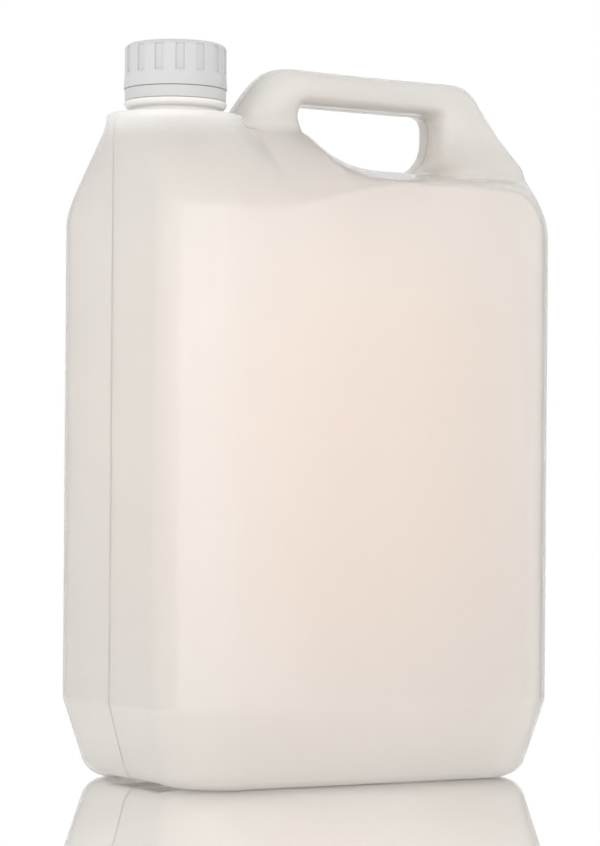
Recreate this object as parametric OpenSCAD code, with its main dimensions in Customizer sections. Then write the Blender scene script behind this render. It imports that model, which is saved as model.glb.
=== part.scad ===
// A five litre blow-moulded jerrycan with a moulded-in handle and a screw cap.
// The origin is the middle of the footprint on the floor, +X runs from the neck end to the
// handle end, -Y is the wide front face and +Z is up.

/* [Body] */
// Width of the body along X
body_width = 188; // [176:1:204]
// Depth of the body along Y
body_depth = 126; // [116:1:136]
// Plan radius of the four upright corners
corner_r = 28; // [22:0.5:34]
// Thickness of the blown wall
wall = 1; // [0.8:0.1:1.4]
// How far below the deck the sides turn in under the neck
shoulder_drop = 24.5; // [18:0.5:34]

/* [Base] */
// Height of the break below which the sides taper in
taper_z = 33; // [28:0.5:44]
// Height of the rounding at that break
taper_round = 7; // [4:0.5:10]
// How far the taper would come in by floor level
taper_inset = 9.2; // [7:0.2:13]
// Radius between the taper and the floor
base_r = 10; // [6:0.5:12]
// Width of the raised channel along the parting line of the base
channel_width = 46; // [34:1:54]
// Height of the raised channel
channel_height = 2.4; // [1.6:0.2:3.4]

/* [Deck below the handle] */
// Height of the deck between the handle's legs
deck_z = 256.5; // [251:0.5:260]
// How far below the deck the flat front panel ends
deck_drop = 9.5; // [6:0.5:13]
// Half width of the deck's flat crown
crown_half = 22; // [18:1:30]
// How far below the front panel's end the sides turn in at the handle's end
end_drop = 20; // [8:1:24]
// How far the deck falls towards the far leg's foot
foot_drop = 2; // [0:0.5:5]
// Length over which the deck rises to the mound under the neck
recess_length = 36.5; // [30:0.5:44]

/* [Handle] */
// Height of the handle's top above the deck
handle_rise = 42; // [38:0.5:46]
// Height of the grip bar's section
bar_height = 14.6; // [12:0.2:17]
// Width of the grip bar across Y
bar_width = 24; // [20:1:28]
// Distance from the neck's axis to the finger gap
gap_from_neck = 55.5; // [52:0.5:60]
// Distance from the finger gap to the body's end
gap_inset = 34; // [30:0.5:40]
// How far the near leg leans out from the gap at its foot
near_lean = 30; // [26:0.5:32]
// Width across Y of the far leg's foot
leg_foot_width = 76; // [60:1:84]
// Plan radius of the far leg's foot
foot_r = 12; // [8:1:22]

/* [Pad and neck] */
// Distance from the body's end to the neck's axis
neck_inset = 29; // [28:0.5:34]
// Radius of the round pad that carries the neck
pad_r = 28.5; // [26.5:0.5:30]
// Height of the pad's top above the deck
pad_rise = 19; // [16:0.5:22]
// Height of the pad's upright edge
pad_height = 4.2; // [3:0.2:5.4]
// Radius of the neck at the thread's root
neck_r = 17.6; // [16.8:0.1:18.4]
// Radius of the mouth's bore
mouth_r = 15.4; // [14:0.1:16]
// Length of the neck above the pad
neck_height = 26.5; // [25.5:0.1:28.5]
// Radius of the collar below the tamper band
collar_r = 21.4; // [20.6:0.1:22.4]
// Height of the collar
collar_height = 3.1; // [2.6:0.1:3.6]
// Height of the plain foot between pad and collar
collar_lift = 2.6; // [2:0.1:3.2]

/* [Thread] */
// Rise of the thread in one turn
pitch = 4.2; // [3.6:0.1:4.6]
// Turns of thread on the neck
neck_turns = 2; // [1.5:0.25:2.25]
// Turns of thread in the cap
cap_turns = 1.5; // [1:0.25:1.75]
// How far a thread stands out of its root
thread_depth = 1.25; // [0.9:0.05:1.4]
// Axial length of a thread at its root
thread_root = 1.7; // [1.3:0.1:1.9]
// Clearance between the cap and the neck, at roots and crests
thread_clearance = 0.4; // [0.3:0.05:0.6]

/* [Cap] */
// Thickness of the cap's wall behind its grooves
cap_wall = 1.05; // [0.8:0.05:1.4]
// Thickness of the cap's top
cap_top = 1.7; // [1.3:0.1:2.2]
// Depth of the grip grooves
groove_depth = 0.8; // [0.5:0.05:1]
// Width of a grip groove
groove_width = 3.7; // [2.8:0.1:4.4]
// Number of grip grooves
groove_count = 15; // [12:1:18]
// Length of the grooves
groove_length = 11; // [9:0.2:12]
// Turn of the first groove away from +X
groove_turn = 6; // [0:0.5:23]
// Height and width of the rounding round the cap's top
rim_r = 2.6; // [1.6:0.1:2.8]
// How much wider the skirt is at its foot
skirt_flare = 0.35; // [0.1:0.05:0.5]
// Thickness of the foam liner
liner_thickness = 1.3; // [0.9:0.1:1.8]

/* [Tamper band] */
// Height of the band that stays on the neck
band_height = 4.4; // [3.8:0.1:5]
// Height of the slit between the band and the skirt
slit = 0.9; // [0.7:0.1:1.4]
// Width of a bridge across the slit
bridge_width = 1.1; // [0.8:0.1:1.6]
// Gap left where the bridges have snapped, and under the band
snap_gap = 0.15; // [0.1:0.05:0.25]
// How far the neck's bead reaches over the band's lip
bead_hold = 0.5; // [0.3:0.05:0.6]

/* [Hidden] */
$fn = 96;

// Points along the pieces of the body's outline, and rings between its levels
corner_steps = 6;
side_steps = 18;
end_steps = 2;
shoulder_steps = 7;
base_steps = 4;
ring_steps = 16;
round_steps = 4;
thread_steps = 30;

// How square the handle's section is at the bar and at the far foot, and how round the shoulder
// is at the neck end, beside the near leg, along the deck and at the handle end
bar_square = 0.62;
foot_square = 0.5;
hip_round = 0.26;
flank_round = 0.12;
deck_round = 0.3;
end_round = 0.42;

// Lengths over which the ridge's width and height change along X
crown_run = 30;
channel_slope = 12;

// Fine edges of the closure: how far a thread is sunk, and the relief inside the skirt's foot
bury = 0.4;
relief = 2.2;
edge = 0.5;

natural = [0.92, 0.89, 0.85, 0.75];
white_cap = "whitesmoke";
foam = "gainsboro";

// Places along X of the neck, the finger gap and the recess behind it
neck_x = neck_inset - body_width / 2;
gap_left = neck_x + gap_from_neck;
gap_right = body_width / 2 - gap_inset;
rise_start = gap_left + recess_length;

// Heights of the pad, the mound under it, the breaks of the walls and the handle
pad_z = deck_z + pad_rise;
mound_z = pad_z - pad_height;
shoulder_z = deck_z - shoulder_drop;
panel_z = deck_z - deck_drop;
end_break_z = panel_z - end_drop;
handle_z = deck_z + handle_rise;
gap_top = handle_z - bar_height;

// The foot of the far leg, and the mound's rim just outside the pad
foot_half = leg_foot_width / 2;
mound_r = pad_r + 0.3;

// Heights and radii of the closure, from the neck outwards
neck_top = pad_z + neck_height;
thread_r = neck_r + thread_depth;
cap_in_r = thread_r + thread_clearance;
cap_groove_r = cap_in_r + cap_wall;
cap_r = cap_groove_r + groove_depth;
cap_z = neck_top + liner_thickness + cap_top;
collar_z = pad_z + collar_lift;
band_z = collar_z + collar_height + snap_gap;
band_top = band_z + band_height;
skirt_z = band_top + slit;
bead_r = neck_r + thread_depth + thread_clearance - 0.05;
skirt_in_r = bead_r + thread_clearance;
lip_r = bead_r - bead_hold;
groove_z = cap_z - rim_r * 0.6 - groove_length;
thread_z = neck_top - 2.4 - neck_turns * pitch;
cap_thread_z = thread_z + pitch / 2;

function mix(a, b, t) = a + (b - a) * t;
function clamp01(t) = min(1, max(0, t));
function smooth(t) = let (c = clamp01(t)) c * c * (3 - 2 * c);
function signed_power(v, p) = sign(v) * pow(abs(v), p);

// Half of a rounded rectangle, from its -X tip round the front to its +X tip
function front_half(w, d, r) = concat(
    [for (i = [0:end_steps - 1]) [-w, -(d - r) * i / end_steps]],
    [
        for (i = [0:corner_steps])
            let (a = 180 + 90 * i / corner_steps)
            [-w + r + r * cos(a), -d + r + r * sin(a)]
    ],
    [for (i = [1:side_steps - 1]) [mix(-w + r, w - r, i / side_steps), -d]],
    [
        for (i = [0:corner_steps])
            let (a = 270 + 90 * i / corner_steps)
            [w - r + r * cos(a), -d + r + r * sin(a)]
    ],
    [for (i = [1:end_steps]) [w, -(d - r) * (1 - i / end_steps)]]
);

// The whole loop, anticlockwise from above, out of the points of its front half
function both_halves(half) = concat(
    half,
    [for (i = [len(half) - 2:-1:1]) [half[i].x, -half[i].y, half[i].z]]
);

// A level ring of the body, with its outline set in
function level_ring(inset, z, skin) =
    let (in = inset + skin, r = corner_r - inset / 2 - skin)
    both_halves([for (p = front_half(body_width / 2 - in, body_depth / 2 - in, r)) [p.x, p.y, z]]);

// How far the deck has turned from its crown, at 0, into the far leg's foot, at 1
function foot_share(x) = smooth((x - gap_right) / crown_run + 0.6);

// Height of the ridge: the recess behind the finger gap, falling from the mound to the deck, and
// the deck's fall towards the far leg's foot
function ridge_z(x) =
    mix(deck_z, mound_z, pow(clamp01((rise_start - x) / recess_length), 2)) - foot_drop * foot_share(x);

// Half width of the ridge on which the handle and the deck lie: the mound's circle, blended
// into the foot of the near leg, then the deck's crown and the wide foot of the far leg
function ridge_half(x) =
    let (
        near = bar_width / 2 + mix(3, 0.5, smooth((x - gap_left + 12) / 20)),
        crown = mix(near, crown_half, smooth((x - gap_left - 14) / (recess_length - 12))),
        foot = mix(crown, foot_half, foot_share(x)),
        circle = sqrt(max(0, mound_r * mound_r - (x - neck_x) * (x - neck_x)))
    )
    pow(pow(foot, 6) + pow(circle, 6), 1 / 6);

// Height at which the upright walls end, round the body
function break_z(x) =
    mix(shoulder_z, panel_z, smooth((x - neck_x - 4) / (gap_from_neck + 16)))
    - (panel_z - end_break_z) * smooth((x - body_width / 2 + corner_r + 6) / (corner_r + 6));

// How much of the shoulder's height is rounding: straight hips at both ends, a hollow flank
// beside the near leg and a crowned deck
function roundness(x) =
    let (
        flank = mix(hip_round, flank_round, smooth((x - neck_x) / gap_from_neck)),
        deck = mix(flank, deck_round, smooth((x - gap_left - 4) / recess_length))
    )
    mix(deck, end_round, smooth((x - gap_right) / gap_inset));

// The front half of the ridge outline, with as many points as front_half()
function ridge_front(skin) =
    let (
        turn = end_steps + corner_steps,
        tip = body_width / 2 - 1 - skin,
        flank = foot_half - skin,
        low = deck_z - foot_drop - skin
    )
    concat(
        [
            for (i = [0:turn])
                let (a = 180 + 90 * i / turn, r = mound_r - skin)
                [neck_x + r * cos(a), r * sin(a), mound_z - skin]
        ],
        [
            for (i = [1:side_steps - 1])
                let (x = mix(neck_x, tip - foot_r, i / side_steps))
                [x, -(ridge_half(x) - skin), ridge_z(x) - skin]
        ],
        [
            for (i = [0:corner_steps])
                let (a = 270 + 90 * i / corner_steps)
                [tip - foot_r + foot_r * cos(a), -flank + foot_r + foot_r * sin(a), low]
        ],
        [for (i = [1:end_steps]) [tip, -(flank - foot_r) * (1 - i / end_steps), low]]
    );

// A ring of the shoulder: a curve that leaves the wall upright and ends on the ridge
function shoulder_ring(t, skin) =
    let (
        foot = front_half(body_width / 2 - skin, body_depth / 2 - skin, corner_r - skin),
        top = ridge_front(skin)
    )
    both_halves([
        for (i = [0:len(foot) - 1])
            let (
                low = break_z(foot[i].x) - skin * 0.4,
                bend = mix(low, top[i].z, roundness(foot[i].x)),
                a = (1 - t) * (1 - t),
                b = 2 * t * (1 - t),
                c = t * t
            )
            [
                (a + b) * foot[i].x + c * top[i].x,
                (a + b) * foot[i].y + c * top[i].y,
                a * low + b * bend + c * top[i].z
            ]
    ]);

// The rings of the round between floor and taper
function base_ring(i, skin) =
    let (
        lean = atan(taper_inset / taper_z),
        centre_in = taper_inset * (1 - base_r / taper_z) + base_r / cos(lean),
        a = mix(90, lean, i / base_steps)
    )
    level_ring(centre_in - base_r * cos(a), base_r - base_r * sin(a) + skin * sin(a), skin);

// The rings of the round between taper and upright walls
function taper_ring(t, skin) =
    level_ring(
        taper_inset * taper_round * pow(1 - t, 2) / taper_z / 2,
        taper_z + taper_round * (t - 0.5),
        skin
    );

// The body's closed skin, set in by a wall's thickness for the hollow
module body_skin(skin) {
    rings = concat(
        [for (i = [0:base_steps]) base_ring(i, skin)],
        [for (i = [0:2]) taper_ring(i / 2, skin)],
        [for (i = [0:shoulder_steps]) shoulder_ring(i / shoulder_steps, skin)]
    );
    n = len(rings[0]);
    last = (len(rings) - 1) * n;
    // The floor face starts on a corner, and one flat face closes the deck's far end
    first = end_steps + 2;
    deck_from = n / 2 - end_steps - corner_steps;
    polyhedron(
        points = [for (r = rings) for (p = r) p],
        faces = concat(
            [[for (i = [0:n - 1]) (i + first) % n]],
            [
                for (k = [0:len(rings) - 2])
                    for (i = [0:n - 1])
                        let (j = (i + 1) % n)
                        each [
                            [k * n + i, (k + 1) * n + i, (k + 1) * n + j],
                            [k * n + i, (k + 1) * n + j, k * n + j]
                        ]
            ],
            [[last, last + n - 1, last + 1]],
            [for (i = [1:deck_from - 1]) [last + i, last + n - i, last + n - i - 1, last + i + 1]],
            [[last + deck_from, for (i = [n - deck_from:-1:deck_from + 1]) last + i]]
        )
    );
}

// Stations of the handle: outer point, inner point, half width outside and inside. Each height is
// a share of the way down to the pad on the near leg, and to the deck on the far one
function handle_stations() =
    let (
        b = bar_width / 2,
        near = function(share) gap_left - near_lean * share,
        far = function(share) mix(gap_right, body_width / 2, share),
        pad_side = function(share) mix(handle_z, pad_z, share),
        pad_gap = function(share) mix(gap_top, pad_z, share),
        deck_side = function(share) mix(handle_z, deck_z, share),
        deck_gap = function(share) mix(gap_top, deck_z, share),
        middle = (gap_left + gap_right) / 2
    )
    [
        [[near(1.05), mound_z - 5], [gap_left + 5, mound_z - 5], b + 2, b + 2],
        [[near(1), pad_side(1.02)], [gap_left + 2, pad_gap(1.24)], b + 0.5, b + 0.5],
        [[near(0.867), pad_side(0.748)], [gap_left + 0.4, pad_gap(0.76)], b - 0.3, b],
        [[near(0.72), pad_side(0.487)], [gap_left, pad_gap(0.476)], b - 0.6, b],
        [[near(0.547), pad_side(0.226)], [gap_left + 1, pad_gap(0.19)], b - 0.8, b],
        [[near(0.36), pad_side(0.043)], [gap_left + 3.5, pad_gap(0.036)], b - 0.6, b],
        [[near(0.167), pad_side(-0.017)], [gap_left + 7, gap_top], b - 0.3, b],
        [[near(-0.167), pad_side(-0.013)], [gap_left + 13, gap_top], b, b],
        [[middle, handle_z], [middle, gap_top], b, b],
        [[gap_right - 4, handle_z], [gap_right - 14, gap_top], b, b],
        [[far(0.235), handle_z], [gap_right - 4.5, gap_top], b, b],
        [[far(0.42), deck_side(0.024)], [gap_right - 0.8, deck_gap(0.05)], b, b],
        [[far(0.585), deck_side(0.11)], [gap_right + 0.4, deck_gap(0.164)], b, b],
        [[far(0.705), deck_side(0.25)], [gap_right + 0.5, deck_gap(0.33)], b + 1, b],
        [[far(0.815), deck_side(0.417)], [gap_right, deck_gap(0.51)], b + 5, b],
        [[far(0.888), deck_side(0.56)], [gap_right - 1.8, deck_gap(0.7)], mix(b, foot_half, 0.38), b + 1],
        [[far(0.94), deck_side(0.7)], [gap_right - 5.5, deck_gap(0.85)], mix(b, foot_half, 0.62), b + 3],
        [[far(0.97), deck_side(0.87)], [gap_right - 12, deck_z + 1], mix(b, foot_half, 0.93), b + 5],
        [[far(0.98), deck_z - foot_drop], [gap_right - 20, deck_z - 3], foot_half + 0.4, b + 8],
        [[far(0.95), deck_z - 14], [gap_right - 20, deck_z - 14], foot_half - 1, b + 8]
    ];

// One closed section of the handle, a rounded rectangle between its two points
function handle_section(s, skin) =
    let (
        n = ring_steps,
        along = s[0] - s[1],
        unit = along / norm(along),
        outer = s[0] - unit * skin,
        inner = s[1] + unit * skin,
        square = mix(bar_square, foot_square, clamp01((s[2] - bar_width / 2) / (foot_half - bar_width / 2)))
    )
    [
        for (i = [0:n - 1])
            let (
                a = 360 * i / n,
                u = (1 + signed_power(cos(a), square)) / 2,
                v = signed_power(sin(a), square),
                half = mix(s[3], s[2], u) - skin
            )
            [mix(inner.x, outer.x, u), v * half, mix(inner.y, outer.y, u)]
    ];

// The handle's closed skin, from one buried foot to the other
module handle_skin(skin) {
    rings = [for (s = handle_stations()) handle_section(s, skin)];
    n = len(rings[0]);
    last = (len(rings) - 1) * n;
    polyhedron(
        points = [for (r = rings) for (p = r) p],
        faces = concat(
            [[for (i = [n - 1:-1:0]) i]],
            [
                for (k = [0:len(rings) - 2])
                    for (i = [0:n - 1])
                        let (j = (i + 1) % n)
                        each [
                            [k * n + i, (k + 1) * n + j, (k + 1) * n + i],
                            [k * n + i, k * n + j, (k + 1) * n + j]
                        ]
            ],
            [[for (i = [0:n - 1]) last + i]]
        )
    );
}

// The channel under the base, as wide as the hollow needs it
module base_channel(skin) {
    half = channel_width / 2 + skin;
    lift = channel_height + skin;
    rotate([90, 0, 90])
        translate([0, 0, -body_width])
            linear_extrude(2 * body_width)
                polygon([
                    [-half - channel_slope * 2 / 3, -1],
                    [-half + channel_slope / 3, lift],
                    [half - channel_slope / 3, lift],
                    [half + channel_slope * 2 / 3, -1]
                ]);
}

// Body, handle and pad together
module blown_form(skin) {
    difference() {
        body_skin(skin);
        base_channel(skin);
    }
    handle_skin(skin);
    translate([neck_x, 0, mound_z - 6])
        cylinder(r = pad_r - skin, h = pad_z - mound_z + 6 - skin);
}

// A helical ridge whose ends run out, on the outside (out = 1) or the inside (out = -1) of a radius
module helical_ridge(root_r, out, turns) {
    steps = thread_steps * turns;
    rings = [
        for (i = [0:steps])
            let (
                ease = min(1, min(i, steps - i) * 6 / thread_steps),
                crest = root_r + out * mix(-bury / 2, thread_depth, ease),
                foot = root_r - out * bury,
                z = pitch * turns * i / steps
            )
            [
                [foot, z - thread_root / 2],
                [crest, z - thread_root / 4],
                [crest, z + thread_root / 4],
                [foot, z + thread_root / 2]
            ]
    ];
    // Corners of the section, turned to their place along the helix
    points = [
        for (i = [0:steps])
            let (a = 360 * turns * i / steps)
            for (p = rings[i]) [p[0] * cos(a), p[0] * sin(a), p[1]]
    ];
    last = steps * 4;
    sides = [
        for (i = [0:steps - 1])
            for (k = [0:3])
                let (j = (k + 1) % 4)
                each [[i * 4 + k, i * 4 + 4 + k, i * 4 + 4 + j], [i * 4 + k, i * 4 + 4 + j, i * 4 + j]]
    ];
    ends = [[0, 1, 2], [0, 2, 3], [last + 2, last + 1, last], [last + 3, last + 2, last]];
    turned = [for (f = concat(sides, ends)) out > 0 ? [f[2], f[1], f[0]] : f];
    polyhedron(points = points, faces = turned);
}

// The neck with its collar and the bead that holds the band down
module neck_solid() {
    round_r = collar_height - edge;
    plain_r = collar_r - round_r - 0.6;
    translate([neck_x, 0, 0]) {
        rotate_extrude()
            polygon(concat(
                [[0, pad_z - wall / 2], [plain_r, pad_z - wall / 2], [plain_r, collar_z]],
                [
                    for (i = [0:round_steps])
                        let (a = -90 + 90 * i / round_steps)
                        [collar_r - round_r + round_r * cos(a), collar_z + round_r + round_r * sin(a)]
                ],
                [
                    [collar_r, collar_z + collar_height - 0.2],
                    [collar_r - 0.2, collar_z + collar_height],
                    [neck_r, collar_z + collar_height],
                    [neck_r, band_top + 0.2],
                    [bead_r, band_top + 0.3],
                    [bead_r, band_top + 0.7],
                    [neck_r, band_top + 1.7],
                    [neck_r, neck_top - edge],
                    [neck_r - edge, neck_top],
                    [0, neck_top]
                ]
            ));
        translate([0, 0, thread_z])
            helical_ridge(neck_r, 1, neck_turns);
    }
}

module bottle() {
    color(natural)
        difference() {
            union() {
                blown_form(0);
                neck_solid();
            }
            blown_form(wall);
            translate([neck_x, 0, pad_z - 3 * wall])
                cylinder(r = mouth_r, h = neck_height + 4 * wall);
        }
}

// The screw cap: a grooved cup with a thread inside
module cap() {
    skirt_r = cap_r + skirt_flare;
    color(white_cap)
        translate([neck_x, 0, 0]) {
            difference() {
                rotate_extrude()
                    polygon(concat(
                        [[0, skirt_z], [skirt_r - 0.2, skirt_z], [skirt_r, skirt_z + 0.3]],
                        [[cap_r, groove_z - edge]],
                        [
                            for (i = [0:round_steps])
                                let (a = 90 * i / round_steps)
                                [cap_r - rim_r + rim_r * cos(a), cap_z - rim_r + rim_r * sin(a)]
                        ],
                        [[0, cap_z]]
                    ));
                translate([0, 0, skirt_z - 1])
                    cylinder(r = cap_in_r, h = neck_top + liner_thickness - skirt_z + 1);
                translate([0, 0, skirt_z - 1])
                    cylinder(r = skirt_in_r, h = relief + 1);
                for (i = [0:groove_count - 1])
                    rotate([0, 0, groove_turn + 360 * i / groove_count])
                        translate([cap_groove_r, -groove_width / 2, groove_z])
                            cube([groove_depth + 1, groove_width, groove_length]);
            }
            translate([0, 0, cap_thread_z])
                helical_ridge(cap_in_r, -1, cap_turns);
        }
}

// The ring that stays on the neck, with what is left of its bridges
module tamper_band() {
    in_r = cap_in_r + 0.35;
    color(white_cap)
        translate([neck_x, 0, 0]) {
            rotate_extrude()
                polygon([
                    [in_r, band_z],
                    [cap_r - 0.4, band_z],
                    [cap_r - 0.1, band_z + 0.3],
                    [cap_r - 0.1, band_top],
                    [in_r, band_top],
                    [lip_r, band_top - 0.4],
                    [lip_r, band_top - 0.9],
                    [in_r, band_top - 1.8]
                ]);
            for (i = [0:groove_count - 1])
                rotate([0, 0, 360 * i / groove_count])
                    translate([in_r + 0.1, -bridge_width / 2, band_top - edge])
                        cube([cap_r - in_r - edge, bridge_width, slit + edge - snap_gap]);
        }
}

// The foam disc between the cap and the lip of the neck
module liner() {
    color(foam)
        translate([neck_x, 0, neck_top])
            cylinder(r = cap_in_r - 0.3, h = liner_thickness);
}

bottle();
cap();
tamper_band();
liner();
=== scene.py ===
"""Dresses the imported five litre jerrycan: the blown shell, its screw cap, tamper band and liner.

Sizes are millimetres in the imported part's own frame and turn into metres as the meshes are made.
"""

import logging
import math
from collections.abc import Callable, Iterable, Sequence
from dataclasses import dataclass, field
from enum import Enum

import bmesh
import bpy
import numpy as np
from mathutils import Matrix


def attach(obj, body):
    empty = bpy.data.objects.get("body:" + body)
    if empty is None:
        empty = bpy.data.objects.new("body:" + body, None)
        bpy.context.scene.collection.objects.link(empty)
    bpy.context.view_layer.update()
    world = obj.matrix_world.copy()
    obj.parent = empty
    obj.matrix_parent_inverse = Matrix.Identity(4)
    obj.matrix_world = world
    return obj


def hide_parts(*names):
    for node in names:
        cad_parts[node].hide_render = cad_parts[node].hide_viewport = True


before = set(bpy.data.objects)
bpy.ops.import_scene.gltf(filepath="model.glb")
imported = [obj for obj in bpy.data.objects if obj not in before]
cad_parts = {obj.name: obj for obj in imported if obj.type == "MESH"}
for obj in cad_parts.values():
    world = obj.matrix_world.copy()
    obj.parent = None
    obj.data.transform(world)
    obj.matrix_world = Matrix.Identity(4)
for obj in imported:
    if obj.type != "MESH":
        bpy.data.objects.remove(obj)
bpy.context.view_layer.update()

MM = 0.001
NECK_X = -65.0
Pair = tuple[float, float]
Point = tuple[float, float, float]
Piece = bpy.types.Object
Socket = bpy.types.NodeSocket
Tree = bpy.types.NodeTree
LOG = logging.getLogger("jerrycan")


class Body(Enum):
    """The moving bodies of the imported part."""

    BOTTLE = "bottle"
    CAP = "cap"
    LINER = "liner"


class Slot(Enum):
    """The record's material slots."""

    NATURAL = "natural_hdpe"
    WHITE = "white_polypropylene"
    FOAM = "liner_foam"


class Rays(Enum):
    """Kinds of ray that see the white backdrop."""

    CAMERA = "Is Camera Ray"
    GLOSSY = "Is Glossy Ray"
    TRANSMISSION = "Is Transmission Ray"


# Small helpers


def linear(code: str) -> tuple[float, float, float, float]:
    """Turns six hex digits of an sRGB colour into Blender's linear red, green, blue and alpha."""
    values = [int(code[i : i + 2], 16) / 255 for i in (0, 2, 4)]
    red, green, blue = (v / 12.92 if v <= 0.04045 else ((v + 0.055) / 1.055) ** 2.4 for v in values)
    return red, green, blue, 1.0


def mix(a: float, b: float, t: np.ndarray | float) -> np.ndarray | float:
    """Returns the value a share t of the way from a to b."""
    return a + (b - a) * t


def smooth(t: np.ndarray | float) -> np.ndarray | float:
    """Returns an eased step from 0 to 1."""
    c = np.clip(t, 0, 1)
    return c * c * (3 - 2 * c)


def deselect() -> None:
    """Deselects every object."""
    bpy.ops.object.select_all(action="DESELECT")


def make_active(piece: Piece) -> None:
    """Selects one object alone and makes it active."""
    deselect()
    piece.select_set(True)
    bpy.context.view_layer.objects.active = piece


def added(name: str) -> Piece:
    """Names the object that was added last, and returns it."""
    piece = bpy.context.active_object
    piece.name = name
    piece.data.name = name
    return piece


def copied(piece: Piece, name: str) -> Piece:
    """Copies a piece under a new name."""
    make_active(piece)
    bpy.ops.object.duplicate()
    return added(name)


def apply_modifier(piece: Piece, kind: str, **settings: object) -> None:
    """Adds a modifier with its settings and applies it.

    Args:
        piece: The object to change.
        kind: The modifier's type.
        **settings: Values for the modifier's own properties.
    """
    make_active(piece)
    modifier = piece.modifiers.new(kind.title(), kind)
    for key, value in settings.items():
        setattr(modifier, key, value)
    bpy.ops.object.modifier_apply(modifier=modifier.name)


def join(pieces: Sequence[Piece]) -> Piece:
    """Joins objects into the first one, and returns it."""
    make_active(pieces[0])
    for piece in pieces[1:]:
        piece.select_set(True)
    bpy.ops.object.join()
    return pieces[0]


def combine(piece: Piece, tool: Piece, operation: str) -> None:
    """Applies a boolean with a tool object and removes the tool.

    Args:
        piece: The object to change.
        tool: The object that is added or cut away.
        operation: UNION, DIFFERENCE or INTERSECT.
    """
    apply_modifier(piece, "BOOLEAN", object=tool, operation=operation, solver="MANIFOLD")
    bpy.data.objects.remove(tool, do_unlink=True)


def finish_place(piece: Piece) -> None:
    """Puts a piece's place and turn into its mesh."""
    make_active(piece)
    bpy.ops.object.transform_apply(location=True, rotation=True, scale=True)


def edit(piece: Piece, mode: str = "FACE") -> bmesh.types.BMesh:
    """Opens a piece in edit mode with nothing selected.

    Args:
        piece: The object to edit.
        mode: VERT, EDGE or FACE.

    Returns:
        The mesh as it is edited.
    """
    make_active(piece)
    bpy.ops.object.mode_set(mode="EDIT")
    bpy.ops.mesh.select_mode(type=mode)
    bpy.ops.mesh.select_all(action="DESELECT")
    return bmesh.from_edit_mesh(piece.data)


def leave_edit() -> None:
    """Goes back to object mode."""
    bpy.ops.object.mode_set(mode="OBJECT")


def pick(piece: Piece, parts: Iterable, test: Callable[[object], bool]) -> None:
    """Selects the parts of an edited mesh that pass a test, and flushes the selection.

    Args:
        piece: The object in edit mode.
        parts: Vertices, edges or faces of its edit mesh.
        test: Says whether a part is selected.
    """
    for part in parts:
        part.select_set(bool(test(part)))
    bmesh.update_edit_mesh(piece.data)


def close_up(piece: Piece) -> None:
    """Merges doubles, fills open ends and points all faces outwards."""
    edit(piece, "VERT")
    bpy.ops.mesh.select_all(action="SELECT")
    bpy.ops.mesh.remove_doubles(threshold=0.00001)
    bpy.ops.mesh.fill_holes(sides=0)
    bpy.ops.mesh.select_all(action="SELECT")
    bpy.ops.mesh.normals_make_consistent(inside=False)
    leave_edit()


def shaped_sheet(name: str, rows: np.ndarray) -> Piece:
    """Wraps a grid round a form and closes it.

    Args:
        name: The piece's name.
        rows: Points in millimetres, as rows x columns x 3. The last column meets the first one.

    Returns:
        The closed form.
    """
    rows = np.concatenate([rows, rows[:, :1]], axis=1)
    deselect()
    down, across = rows.shape[:2]
    bpy.ops.mesh.primitive_grid_add(x_subdivisions=across - 1, y_subdivisions=down - 1, size=1)
    piece = added(name)
    piece.data.vertices.foreach_set("co", (rows * MM).astype(np.float32).ravel())
    piece.data.update()
    close_up(piece)
    return piece


def lathe(name: str, profile: Sequence[Pair], steps: int = 144) -> Piece:
    """Turns a closed profile about the neck's axis.

    Args:
        name: The piece's name.
        profile: Radius and height of each corner in millimetres, in order round the section.
        steps: Facets of the full turn.

    Returns:
        The turned piece.
    """
    deselect()
    bpy.ops.mesh.primitive_circle_add(vertices=len(profile), radius=MM, fill_type="NOTHING")
    piece = added(name)
    corners = [((NECK_X + radius) * MM, 0.0, height * MM) for radius, height in profile]
    piece.data.vertices.foreach_set("co", np.array(corners, np.float32).ravel())
    edit(piece, "VERT")
    bpy.ops.mesh.select_all(action="SELECT")
    bpy.ops.mesh.spin(steps=steps, angle=2 * math.pi, center=(NECK_X * MM, 0, 0), axis=(0, 0, 1))
    leave_edit()
    close_up(piece)
    return piece


def arc(centre: Pair, radius: float, start: float, end: float, steps: int) -> list[Pair]:
    """Lists points of an arc in a profile.

    Args:
        centre: Its centre, as radius and height.
        radius: The arc's radius.
        start: First angle in degrees from outwards, anticlockwise.
        end: Last angle in degrees.
        steps: Number of steps between them.

    Returns:
        The points with both ends.
    """
    angles = [math.radians(mix(start, end, i / steps)) for i in range(steps + 1)]
    return [(centre[0] + radius * math.cos(a), centre[1] + radius * math.sin(a)) for a in angles]


# Node materials


def add_node(
    tree: Tree,
    kind: str,
    settings: dict[str, object] | None = None,
    links: dict[str | int, Socket] | None = None,
) -> bpy.types.Node:
    """Adds a node with its settings and links.

    Args:
        tree: The node tree.
        kind: The node's class without its ShaderNode at the front.
        settings: Node properties and input values by name. An input's name wins.
        links: Sockets that feed the node's inputs.

    Returns:
        The node.
    """
    node = tree.nodes.new("ShaderNode" + kind)
    settings = settings or {}
    own = [key for key in settings if hasattr(node, str(key)) and key not in node.inputs]
    for key in own:
        setattr(node, key, settings[key])
    for key, value in settings.items():
        if key not in own:
            node.inputs[key].default_value = value
    for key, socket in (links or {}).items():
        tree.links.new(socket, node.inputs[key])
    return node


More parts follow.
